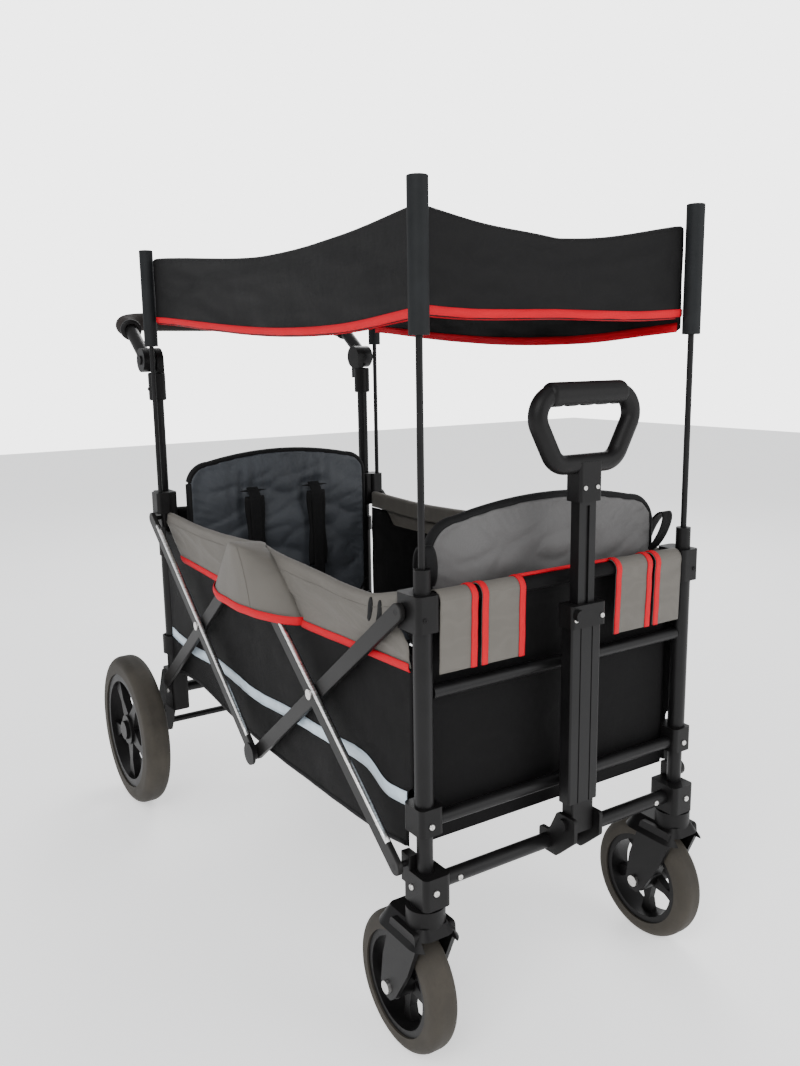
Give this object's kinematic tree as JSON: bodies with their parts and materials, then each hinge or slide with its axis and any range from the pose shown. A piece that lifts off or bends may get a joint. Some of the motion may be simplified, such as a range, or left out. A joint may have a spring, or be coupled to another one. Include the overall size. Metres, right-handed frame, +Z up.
{
  "type": "folding push and pull wagon",
  "caption": "Folding two-seat child wagon with telescoping pull handle, tilting push handle, swivel front casters and a canopy on poles.",
  "frame": {"origin": "on the floor, under the centre of the bounding box", "axes": "+X towards the pull handle, +Y to the wagon's left, +Z up"},
  "size_m": [1.243, 0.664, 1.16],
  "materials": {
    "frame_paint": "satin black powder coat",
    "link_paint": "satin black with a bright edge",
    "black_plastic": "matte moulded black",
    "charcoal_sleeve": "matte charcoal",
    "zinc_steel": "zinc plated",
    "tyre": "worn soft tread",
    "foam_grip": "soft foam",
    "canopy_fabric": "plain weave polyester",
    "black_fabric": "coarse polyester weave",
    "grey_fabric": "coarse polyester weave",
    "seat_fabric": "soft slate polyester",
    "red_trim": "woven piping",
    "reflective_tape": "retroreflective",
    "webbing": "ribbed webbing"
  },
  "bodies": {
    "rear_lower": {"rear_lower_posts": "frame_paint", "rear_post_fittings": "black_plastic", "rear_cross_tube": "frame_paint", "rear_axle": "zinc_steel", "rear_axle_arms": "black_plastic"},
    "brake": {"brake_pedal": "black_plastic"},
    "rear_wheel_left": {"rear_tyre_left": "tyre", "rear_wheel_left": "black_plastic"},
    "rear_wheel_right": {"rear_tyre_right": "tyre", "rear_wheel_right": "black_plastic"},
    "link_rear_rising": {"link_rear_rising": "link_paint"},
    "link_front_falling": {"link_front_falling": "link_paint", "front_link_rivets": "zinc_steel", "top_joint_covers": "black_plastic"},
    "link_rear_falling": {"link_rear_falling": "link_paint", "rear_link_rivets": "zinc_steel", "bottom_joint_covers": "black_plastic"},
    "link_front_rising": {"link_front_rising": "link_paint"},
    "front_lower": {"front_lower_posts": "frame_paint", "caster_blocks": "black_plastic", "front_cross_tube": "frame_paint", "handle_yoke": "black_plastic"},
    "caster_left": {"caster_fork_left": "black_plastic", "caster_pins_left": "zinc_steel"},
    "caster_right": {"caster_fork_right": "black_plastic", "caster_pins_right": "zinc_steel"},
    "front_wheel_left": {"front_tyre_left": "tyre", "front_wheel_left": "black_plastic"},
    "front_wheel_right": {"front_tyre_right": "tyre", "front_wheel_right": "black_plastic"},
    "pull_handle": {"pull_rails": "frame_paint", "pull_foot": "black_plastic", "pull_clamp": "black_plastic"},
    "pull_stem": {"pull_stem": "frame_paint", "pull_grip": "black_plastic"},
    "rear_upper": {"rear_upper_posts": "frame_paint", "rear_frame_collars": "black_plastic", "rear_rails": "frame_paint", "rear_canopy_rods": "frame_paint", "rear_end_panel": "black_fabric", "push_handle_housings": "black_plastic", "side_panels": "black_fabric", "floor_mat": "black_fabric", "rear_seat_cushion": "seat_fabric"},
    "push_handle": {"push_handle_bar": "frame_paint", "push_handle_grip": "foam_grip"},
    "push_button_left": {"push_button_left": "black_plastic"},
    "push_button_right": {"push_button_right": "black_plastic"},
    "front_upper": {"front_upper_posts": "frame_paint", "front_frame_collars": "black_plastic", "front_rails": "frame_paint", "front_canopy_rods": "frame_paint", "front_end_panel": "black_fabric", "front_seat_cushion": "seat_fabric"},
    "canopy_rear": {"canopy_sleeves_rear": "charcoal_sleeve", "canopy_cloth": "canopy_fabric"},
    "canopy_front": {"canopy_sleeves_front": "charcoal_sleeve"},
    "rear_seat": {"rear_seat_back": "seat_fabric", "harness_pads": "webbing"},
    "front_seat": {"front_seat_back": "seat_fabric"}
  },
  "joints": [
    {"name": "fold", "type": "hinge", "parent": "rear_lower", "child": "link_rear_rising", "pos_m": [-0.3565, 0, 0.29], "axis": [0, -1, 0], "range_deg": [0, 42.4], "deforming": ["side_panels", "floor_mat", "rear_seat_cushion", "front_seat_cushion", "canopy_cloth"]},
    {"name": "fold_top_joint", "type": "hinge", "parent": "link_rear_rising", "child": "link_front_falling", "pos_m": [0.0935, 0, 0.636], "axis": [0, 1, 0], "range_deg": [0, 84.8]},
    {"name": "fold_front_foot", "type": "hinge", "parent": "link_front_falling", "child": "front_lower", "pos_m": [0.5435, 0, 0.29], "axis": [0, -1, 0], "range_deg": [0, 42.4]},
    {"name": "fold_rear_cross", "type": "hinge", "parent": "link_rear_rising", "child": "link_rear_falling", "pos_m": [-0.1315, 0, 0.463], "axis": [0, 1, 0], "range_deg": [0, 84.8]},
    {"name": "fold_rear_collar", "type": "hinge", "parent": "link_rear_falling", "child": "rear_upper", "pos_m": [-0.3565, 0, 0.636], "axis": [0, -1, 0], "range_deg": [0, 42.4]},
    {"name": "fold_front_cross", "type": "hinge", "parent": "link_front_falling", "child": "link_front_rising", "pos_m": [0.3185, 0, 0.463], "axis": [0, -1, 0], "range_deg": [0, 84.8]},
    {"name": "fold_front_collar", "type": "hinge", "parent": "link_front_rising", "child": "front_upper", "pos_m": [0.5435, 0, 0.636], "axis": [0, 1, 0], "range_deg": [0, 42.4]},
    {"name": "rear_wheel_left_spin", "type": "hinge", "parent": "rear_lower", "child": "rear_wheel_left", "pos_m": [-0.4615, 0.305, 0.16], "axis": [0, 1, 0], "continuous": true},
    {"name": "rear_wheel_right_spin", "type": "hinge", "parent": "rear_lower", "child": "rear_wheel_right", "pos_m": [-0.4615, -0.305, 0.16], "axis": [0, 1, 0], "continuous": true},
    {"name": "brake_press", "type": "hinge", "parent": "rear_lower", "child": "brake", "pos_m": [-0.4615, 0, 0.16], "axis": [0, -1, 0], "range_deg": [0, 20]},
    {"name": "caster_left_swivel", "type": "hinge", "parent": "front_lower", "child": "caster_left", "pos_m": [0.5635, 0.24, 0.24], "axis": [0, 0, 1], "continuous": true},
    {"name": "front_wheel_left_spin", "type": "hinge", "parent": "caster_left", "child": "front_wheel_left", "pos_m": [0.5175, 0.24, 0.098], "axis": [0, 1, 0], "continuous": true},
    {"name": "caster_right_swivel", "type": "hinge", "parent": "front_lower", "child": "caster_right", "pos_m": [0.5635, -0.24, 0.24], "axis": [0, 0, 1], "continuous": true},
    {"name": "front_wheel_right_spin", "type": "hinge", "parent": "caster_right", "child": "front_wheel_right", "pos_m": [0.5175, -0.24, 0.098], "axis": [0, 1, 0], "continuous": true},
    {"name": "pull_handle_tilt", "type": "hinge", "parent": "front_lower", "child": "pull_handle", "pos_m": [0.5985, 0, 0.3], "axis": [0, 1, 0], "range_deg": [0, 100]},
    {"name": "pull_handle_length", "type": "slide", "parent": "pull_handle", "child": "pull_stem", "axis": [0, 0, 1], "range_m": [-0.13, 0.04]},
    {"name": "push_handle_tilt", "type": "hinge", "parent": "rear_upper", "child": "push_handle", "pos_m": [-0.3915, 0, 0.952], "axis": [0, 1, 0], "range_deg": [-90, 45]},
    {"name": "push_button_left_press", "type": "slide", "parent": "push_handle", "child": "push_button_left", "axis": [0, -1, 0], "range_m": [0, 0.004], "stiffness_N_per_m": 200, "springref_m": -0.001},
    {"name": "push_button_right_press", "type": "slide", "parent": "push_handle", "child": "push_button_right", "axis": [0, 1, 0], "range_m": [0, 0.004], "stiffness_N_per_m": 200, "springref_m": -0.001},
    {"name": "canopy_height", "type": "slide", "parent": "rear_upper", "child": "canopy_rear", "axis": [0, 0, 1], "range_m": [-0.12, 0]},
    {"name": "canopy_front_height", "type": "slide", "parent": "front_upper", "child": "canopy_front", "axis": [0, 0, 1], "range_m": [-0.12, 0]},
    {"name": "rear_seat_fold", "type": "hinge", "parent": "rear_upper", "child": "rear_seat", "pos_m": [-0.3265, 0, 0.412], "axis": [0, -1, 0], "range_deg": [-80, 0]},
    {"name": "front_seat_fold", "type": "hinge", "parent": "front_upper", "child": "front_seat", "pos_m": [0.5245, 0, 0.412], "axis": [0, 1, 0], "range_deg": [-80, 0]}
  ],
  "couplings": [
    {"joint": "fold_top_joint", "follows": "fold", "ratio": 2},
    {"joint": "fold_front_foot", "follows": "fold", "ratio": 1},
    {"joint": "fold_rear_cross", "follows": "fold", "ratio": 2},
    {"joint": "fold_rear_collar", "follows": "fold", "ratio": 1},
    {"joint": "fold_front_cross", "follows": "fold", "ratio": 2},
    {"joint": "fold_front_collar", "follows": "fold", "ratio": 1},
    {"joint": "canopy_front_height", "follows": "canopy_height", "ratio": 1}
  ]
}
